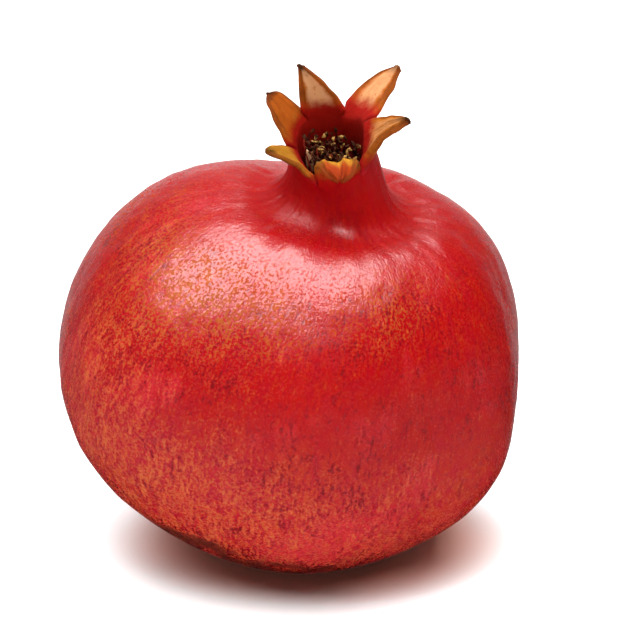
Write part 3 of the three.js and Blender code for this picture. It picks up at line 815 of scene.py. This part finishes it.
def add_lobe(index):
    """Outer face, inner face, two margins and the tip of one lobe."""
    rows_t = np.linspace(0, 1, LOBE_ROWS + 1)[1:, None]
    across = np.linspace(-1, 1, LOBE_COLUMNS + 1)[None, :]
    columns = (index * LOBE_COLUMNS + np.arange(LOBE_COLUMNS + 1)) % COLUMNS
    outer, inner = outer_faces[index], inner_faces[index]
    outside = np.vstack([skin_rows[-1][columns], fruit.add(outer[1:], **lobe_marks(index, rows_t, across, 0))])
    inside = np.vstack([cup_rows[0][columns], fruit.add(inner[1:], **lobe_marks(index, rows_t, across, 1))])
    fruit.join(outside)
    fruit.join(inside[:, ::-1])
    margins = []
    for column, neighbour, notch, v in ((0, 1, index, -1.0), (-1, -2, (index + 1) % 6, 1.0)):
        outward = unit(outer[1:, column] - outer[1:, neighbour])
        points = edge_between(inner[1:, column], outer[1:, column], outward, soft_step(0, 0.15, rows_t)[..., None])
        marks = lobe_marks(index, rows_t, np.full((1, 3), v), 0.5)
        margins.append(np.vstack([notch_edges[notch], fruit.add(points, **marks)]))
    fruit.join(np.hstack([inside[:, :1], margins[0], outside[:, :1]]))
    fruit.join(np.hstack([outside[:, -1:], margins[1][:, ::-1], inside[:, -1:]]))
    ahead = unit(outer[-1, 1:-1] - outer[-2, 1:-1]) * np.sqrt(1 - across[0, 1:-1] ** 2)[:, None]
    cap = edge_between(inner[-1, 1:-1], outer[-1, 1:-1], ahead, 1.0).transpose(1, 0, 2)
    tip = fruit.add(cap, **lobe_marks(index, np.ones((3, 1)), across[:, 1:-1], 0.5))
    tip = np.hstack([margins[0][-1][:, None], tip, margins[1][-1][:, None]])
    fruit.join(np.vstack([outside[-1:], tip[::-1], inside[-1:]]))


for lobe_index in range(6):
    add_lobe(lobe_index)
whole_fruit = fruit.to_object("pomegranate_fruit", fruit_finish())
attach(whole_fruit, "root")
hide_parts("fruit")

# %% [markdown]
# ## Dried stamens
#
# The tuft in the cup is what is left of the flower: brown filaments that rise and curl inward, each with a
# bean of dry pollen sac, round the old style. Every filament is a thin tube along a curve. All of them are
# worked out at once as one array of filament by ring by side.

# %% Tubes along many curves at once
STAMENS = 150
CUP_FLOOR = RIM_HEIGHT - CUP_DEPTH


def tubes(centres, ahead, across, deep, sides):
    """Rings of points round the centre lines, each square to its direction, with two half widths."""
    right = unit(np.cross(np.array([0.13, 0.99, 0.05]), ahead))
    front = np.cross(ahead, right)
    angle = 2 * math.pi * (np.arange(sides) + 0.5) / sides
    return (centres[..., None, :] + right[..., None, :] * across[..., None, None] * np.cos(angle)[:, None]
            + front[..., None, :] * deep[..., None, None] * np.sin(angle)[:, None])


def cubic(a, b, c, d, t):
    """Point and direction of a cubic curve at each share of t."""
    t = t[None, :, None]
    a, b, c, d = (p[:, None, :] for p in (a, b, c, d))
    point = (1 - t) ** 3 * a + 3 * (1 - t) ** 2 * t * b + 3 * (1 - t) * t * t * c + t**3 * d
    slope = (1 - t) ** 2 * (b - a) + 2 * (1 - t) * t * (c - b) + t * t * (d - c)
    return point, unit(slope)


def add_tubes(surface, rings, kind, luck, along):
    """Skins a stack of tubes, closes both ends of each, and marks kind, a random number and the share along."""
    numbers = surface.add(rings, part=(kind, np.reshape(luck, (-1, 1, 1)), np.reshape(along, (1, -1, 1))))
    surface.join(numbers, closed=True)
    surface.faces.extend(numbers[:, 0, ::-1].tolist() + numbers[:, -1].tolist())


# %% Filaments and pollen sacs
draw = np.random.default_rng(27)
order = np.arange(STAMENS)
root_turn = np.radians(order * 137.5)
root_reach = 5.5 * np.sqrt((order + 0.5) / STAMENS)
tall = draw.uniform(4.2, 7.6, STAMENS)
reach = np.minimum(5.6, root_reach * draw.uniform(0.5, 0.95, STAMENS) + draw.uniform(0, 1.6, STAMENS))
top_turn = root_turn + draw.normal(0, 0.5, STAMENS)
start_height = CUP_FLOOR + 1.6 + 1.4 * soft_step(3.5, 5.5, root_reach)


def around_axis(radius, turn, height):
    """Points at a distance from the axis, turned round it by an angle, at a height."""
    return np.stack([radius * np.cos(turn), radius * np.sin(turn), height], -1)


root = around_axis(root_reach, root_turn, start_height - 1.0)
low_pull = around_axis(root_reach * 1.02, root_turn, start_height + tall * 0.35)
high_pull = around_axis((root_reach + reach) / 2 + draw.normal(0, 0.7, STAMENS), (root_turn + top_turn) / 2,
                        start_height + tall * draw.uniform(0.7, 1.05, STAMENS))
top = around_axis(reach, top_turn, start_height + tall * draw.uniform(0.72, 1.0, STAMENS))
along = np.linspace(0, 1, 9)
centre, ahead = cubic(root, low_pull, high_pull, top, along)
thickness = draw.uniform(0.13, 0.2, STAMENS)[:, None] * (1.15 - 0.45 * along)
tuft = Surface("part")
chance = draw.uniform(0, 1, STAMENS)
add_tubes(tuft, tubes(centre, ahead, thickness, thickness, 5), 0.0, chance, along)

SAC_SHAPE = np.array([0.12, 0.62, 0.95, 0.8, 0.98, 0.6, 0.1])
sac_along = np.linspace(-0.5, 0.5, len(SAC_SHAPE))
sac_ahead = unit(ahead[:, -1] + draw.normal(0, 0.8, (STAMENS, 3)))
sac_length = draw.uniform(0.95, 1.5, STAMENS)
sac_centre = top[:, None] + sac_ahead[:, None] * (sac_length[:, None] * sac_along)[..., None]
sac_bend = unit(np.cross(sac_ahead, draw.normal(size=(STAMENS, 3))))
sac_centre += sac_bend[:, None] * (0.22 * np.cos(math.pi * sac_along))[None, :, None]
sac_width = draw.uniform(0.26, 0.4, STAMENS)[:, None] * SAC_SHAPE
sac_rings = tubes(sac_centre, np.repeat(sac_ahead[:, None], len(SAC_SHAPE), 1), sac_width, sac_width * 0.7, 6)
add_tubes(tuft, sac_rings, 1.0, chance, sac_along + 0.5)
print("stamens:", STAMENS, "tallest, mm above the cup's floor:", round(float(top[:, 2].max() - CUP_FLOOR), 1))

# %% [markdown]
# ## Pad, style and a scrap of petal
#
# The filaments stand on a low cushion. The old style rises from its middle, and one cream scrap of petal
# has dried against the left of the cup, where the photograph shows it.


# %% Pad and style as turned profiles
def turned(profile, centre, lift, sides, ripple=0.0):
    """A profile of radius and height turned round an upright axis, its radius rippled by cosines."""
    turn = 2 * math.pi * np.arange(sides) / sides
    radius = profile[:, :1] * (1 + ripple * np.cos(5 * turn + profile[:, 1:] * 3) + ripple * np.cos(9 * turn))
    height = np.broadcast_to(lift + profile[:, 1:], radius.shape)
    return np.stack([centre[0] + radius * np.cos(turn), centre[1] + radius * np.sin(turn), height], -1)[None]


PAD = np.array([(3.9, 0.4), (5.0, 0.6), (5.8, 1.1), (5.95, 1.7), (5.5, 2.3), (4.4, 2.7), (3.0, 2.9), (1.2, 2.95)])
STYLE = np.array([(0.8, 1.9), (0.62, 4), (0.52, 6), (0.5, 5.4), (0.6, 5.8), (0.7, 6.2), (0.6, 6.5), (0.25, 6.65)])
add_tubes(tuft, turned(PAD, (0, 0), CUP_FLOOR, 40, 0.02), 0.5, 0.3, np.linspace(0, 0.5, len(PAD)))
add_tubes(tuft, turned(STYLE, (-0.6, 0.5), CUP_FLOOR, 14, 0.04), 0.5, 0.1, np.linspace(0.3, 1, len(STYLE)))


SCRAP_PLACE = (-4.2, -1.6)
SCRAP_TURN = math.radians(-115)


def petal_scrap():
    """A leaf of rows by columns that leans and curls as it rises. Its width is a sine of the share up it, less
    a square towards the tip. The outer face comes first and the inner face returns beside it, as one ring."""
    t = np.linspace(0, 1, 13)[:, None]
    v = np.linspace(-1, 1, 9)[None, :]
    half = 1.6 * (0.55 + 0.45 * np.sin(math.pi * (0.15 + 0.6 * t))) * (1 - 0.75 * t**2)
    curl = 0.5 * np.cos(2.4 * v + 2 * t) + 0.25 * np.sin(5 * t + 3 * v)
    rings = []
    for offset, order_v in ((0.16, slice(None)), (-0.16, slice(None, None, -1))):
        out = 0.5 * t - 0.35 * v**2 + 0.35 * curl * t + offset * (1 - 0.6 * v**2)
        side = half * v
        x = SCRAP_PLACE[0] + out * math.cos(SCRAP_TURN) - side * math.sin(SCRAP_TURN)
        y = SCRAP_PLACE[1] + out * math.sin(SCRAP_TURN) + side * math.cos(SCRAP_TURN)
        z = np.broadcast_to(CUP_FLOOR + 1.6 + 6.6 * t - 0.5 * v * t, x.shape)
        rings.append(np.stack([x, y, z], -1)[:, order_v])
    return np.concatenate(rings, 1)[None]


add_tubes(tuft, petal_scrap(), 2.0, 0.5, np.linspace(0, 1, 13))


# %% Finish of the dry tuft
FILAMENT_BROWN = (0.035, 0.004, 0.002)
FILAMENT_RED = (0.10, 0.005, 0.003)
SAC_TAN = (0.36, 0.20, 0.055)
SAC_DARK = (0.030, 0.008, 0.003)
SCRAP_CREAM = (0.50, 0.32, 0.17)
TUFT_GLOSS = 0.03


def tuft_finish():
    """Brown to red filaments, dark to tan sacs and a cream scrap, told apart by the kind in the mark."""
    f = Finish("dry_stamens")
    place = f.node("ShaderNodeTexCoord", output="Object")
    place = f.node("ShaderNodeVectorMath", {"operation": "SCALE"}, {0: place, "Scale": 1 / MM})
    kind, luck, along = f.mark("part")
    grain = f.noise(f.stretched(place, 0.5, 0.5, 0.5), 3.0, 0.6)
    filament = f.blend((luck + (grain - 0.5)).step(0.3, 0.7), FILAMENT_BROWN, FILAMENT_RED)
    filament = f.blend(along.step(0.7, 1.0) * 0.15, filament, DRY_AMBER)
    sac = f.blend((luck + (grain - 0.5) * 0.8).step(0.74, 0.94), SAC_DARK, SAC_TAN)
    scrap = f.blend((grain * 0.9 + along * 0.3).step(0.25, 0.65), DRY_ORANGE, SCRAP_CREAM)
    colour = f.blend(kind.step(0.6, 0.9), filament, sac)
    colour = f.blend(kind.step(1.4, 1.6), colour, scrap)
    rough = (0.6 + grain * 0.25).clipped()
    relief = f.bump(grain * 0.12)
    return f.finish(Base_Color=colour, Roughness=rough, Normal=relief, Specular_IOR_Level=TUFT_GLOSS)


stamen_tuft = tuft.to_object("stamen_tuft", tuft_finish())
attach(stamen_tuft, "root")
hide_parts("stamens")

# %% [markdown]
# ## Table, light and camera
#
# The fruit stands on a white table with painted light near it. A warm tint painted into the core of the
# shadow stands in for red light bounced from the fruit, and a little further out the table glows, which is
# painted light that lightens the edge of the shadow.
# A large soft light overhead, a little towards the viewer, and a weak fill in front light the colours, but
# don't show in the gloss. A second panel overhead shows in the gloss only and makes the highlight. The
# surroundings are dim, and bright only straight behind, which gives the pale edges of the fruit.


# %% White table, with painted bounce and painted light glowing near the fruit
# Painted light: a warm tint for red light bounced from the fruit into its shadow's core, and the table glowing
# beyond it
PAINTED_BOUNCE_REACH = (0.020, 0.037)
PAINTED_BOUNCE_TINT = (0.95, 0.50, 0.37)
PAINTED_GLOW_REACH = (0.028, 0.044)
PAINTED_GLOW_STRENGTH = 0.3
SHADOW_SQUEEZE = (0.85, 1.1, 0)
SHADOW_SHIFT = (-0.004, 0, 0)


def table_finish():
    """White, with a painted warm tint close to the fruit for the red light it throws into its shadow, and
    glowing a little further out, which is painted light that lightens the shadow.
    """
    f = Finish("white_table")
    place = f.node("ShaderNodeTexCoord", output="Object")
    cloud = f.noise(f.stretched(place, 0.02, 0.02, 0.02), 2.0)
    white = f.blend(cloud, (0.93, 0.93, 0.93), (0.95, 0.95, 0.95))
    squeezed = {0: place, 1: SHADOW_SQUEEZE, 2: SHADOW_SHIFT}
    offset = f.node("ShaderNodeVectorMath", {"operation": "MULTIPLY_ADD"}, squeezed)
    away = f.node("ShaderNodeVectorMath", {"operation": "LENGTH"}, {0: offset}, output="Value")
    # Painted bounce: the core of the shadow turns warm, as if lit by the red fruit
    bounce_tinted = f.blend(away.step(*PAINTED_BOUNCE_REACH), PAINTED_BOUNCE_TINT, white)
    # Painted light: the table glows beyond the shadow's core, which lightens the shadow
    painted_glow = f.blend(away.step(*PAINTED_GLOW_REACH), (0.0, 0.0, 0.0), (1.0, 1.0, 1.0))
    return f.finish(Base_Color=bounce_tinted, Roughness=0.8, Emission_Color=painted_glow, Emission_Strength=PAINTED_GLOW_STRENGTH)


TABLE_REACH = 3
mesh = bpy.data.meshes.new("table")
corners = [(x * TABLE_REACH, y * TABLE_REACH, 0) for x, y in ((-1, -1), (1, -1), (1, 1), (-1, 1))]
mesh.from_pydata(corners, [], [(0, 1, 2, 3)])
mesh.materials.append(table_finish())
table = bpy.data.objects.new("table", mesh)
bpy.context.scene.collection.objects.link(table)
table.visible_glossy = False

# %% Overhead light, front fill and the panel for the gloss
AIM = Vector((0, 0, 0.06))


def soft_box(name, size, place, power):
    """A rectangle of light at a place, facing the fruit."""
    lamp = bpy.data.lights.new(name, "AREA")
    lamp.shape = "RECTANGLE"
    lamp.size, lamp.size_y = size
    lamp.energy = power
    made = bpy.data.objects.new(name, lamp)
    bpy.context.scene.collection.objects.link(made)
    made.location = place
    made.rotation_mode = "QUATERNION"
    made.rotation_quaternion = (AIM - made.location).to_track_quat("-Z", "Y")
    return made


overhead = soft_box("overhead", (1.15, 1.1), (-0.03, -0.14, 0.80), 25)
overhead.visible_glossy = False
front_fill = soft_box("front_fill", (0.9, 0.2), (0.1, -0.90, 0.12), 1.6)
front_fill.visible_glossy = False
sheen = soft_box("overhead_sheen", (0.80, 1.20), (-0.10, -0.04, 0.79), 39)
sheen.visible_diffuse = False

# %% Surroundings: bright straight behind, faint at the left, dim elsewhere
world = bpy.data.worlds.new("surroundings")
bpy.context.scene.world = world
world.use_nodes = True
sky_tree = world.node_tree


def sky_node(kind, settings=None, inputs=None, output=0):
    """Adds a node to the surroundings, sets its settings and sockets, and gives one of its outputs."""
    made = sky_tree.nodes.new(kind)
    for key, value in (settings or {}).items():
        setattr(made, key, value)
    for key, value in (inputs or {}).items():
        if isinstance(value, bpy.types.NodeSocket):
            sky_tree.links.new(value, made.inputs[key])
        else:
            made.inputs[key].default_value = value
    return made.outputs[output]


def sky_step(value, low, high, dark, bright):
    """Smooth step of a direction's part, from one strength to another."""
    inputs = {"Value": value, "From Min": low, "From Max": high, "To Min": dark, "To Max": bright}
    return sky_node("ShaderNodeMapRange", {"interpolation_type": "SMOOTHSTEP"}, inputs)


look = sky_node("ShaderNodeTexCoord", output="Generated")
look_x, look_y, look_z = (sky_node("ShaderNodeSeparateXYZ", None, {0: look}, output=part) for part in "XYZ")
behind = sky_step(look_y, 0.80, 1.0, 0.0, 0.9)
at_left = sky_step(look_x, -0.9, -0.2, 0.12, 0.02)
not_below = sky_step(look_z, -0.65, -0.36, 0.05, 1.0)
bright = sky_node("ShaderNodeMath", {"operation": "ADD"}, {0: behind, 1: at_left})
bright = sky_node("ShaderNodeMath", {"operation": "MULTIPLY"}, {0: bright, 1: not_below})
backdrop = sky_tree.nodes["Background"]
sky_tree.links.new(bright, backdrop.inputs["Strength"])
backdrop.inputs["Color"].default_value = (1, 1, 1, 1)

# %% Camera at the photograph's viewing angle
PICTURE_SIDE = 640
PIXEL_MM = 0.2
CAMERA_DISTANCE = 0.55
CAMERA_ELEVATION = math.radians(20)
forward = Vector((0, math.cos(CAMERA_ELEVATION), -math.sin(CAMERA_ELEVATION)))
target = Vector((9.151 + SHIFT[0], SHIFT[1], 46.151 + LOWEST + 0.9 + SHIFT[2])) * MM
lens = bpy.data.cameras.new("viewer")
lens.sensor_width = 36
lens.lens = 36 * CAMERA_DISTANCE / (PICTURE_SIDE * PIXEL_MM * MM)
lens.clip_start = 0.01
camera = bpy.data.objects.new("viewer", lens)
bpy.context.scene.collection.objects.link(camera)
camera.location = target - forward * CAMERA_DISTANCE
camera.rotation_mode = "QUATERNION"
camera.rotation_quaternion = forward.to_track_quat("-Z", "Y")
bpy.context.scene.camera = camera
bpy.context.scene.view_settings.view_transform = "Standard"
print("camera:", round(lens.lens, 1), "mm lens,", CAMERA_DISTANCE, "m away")
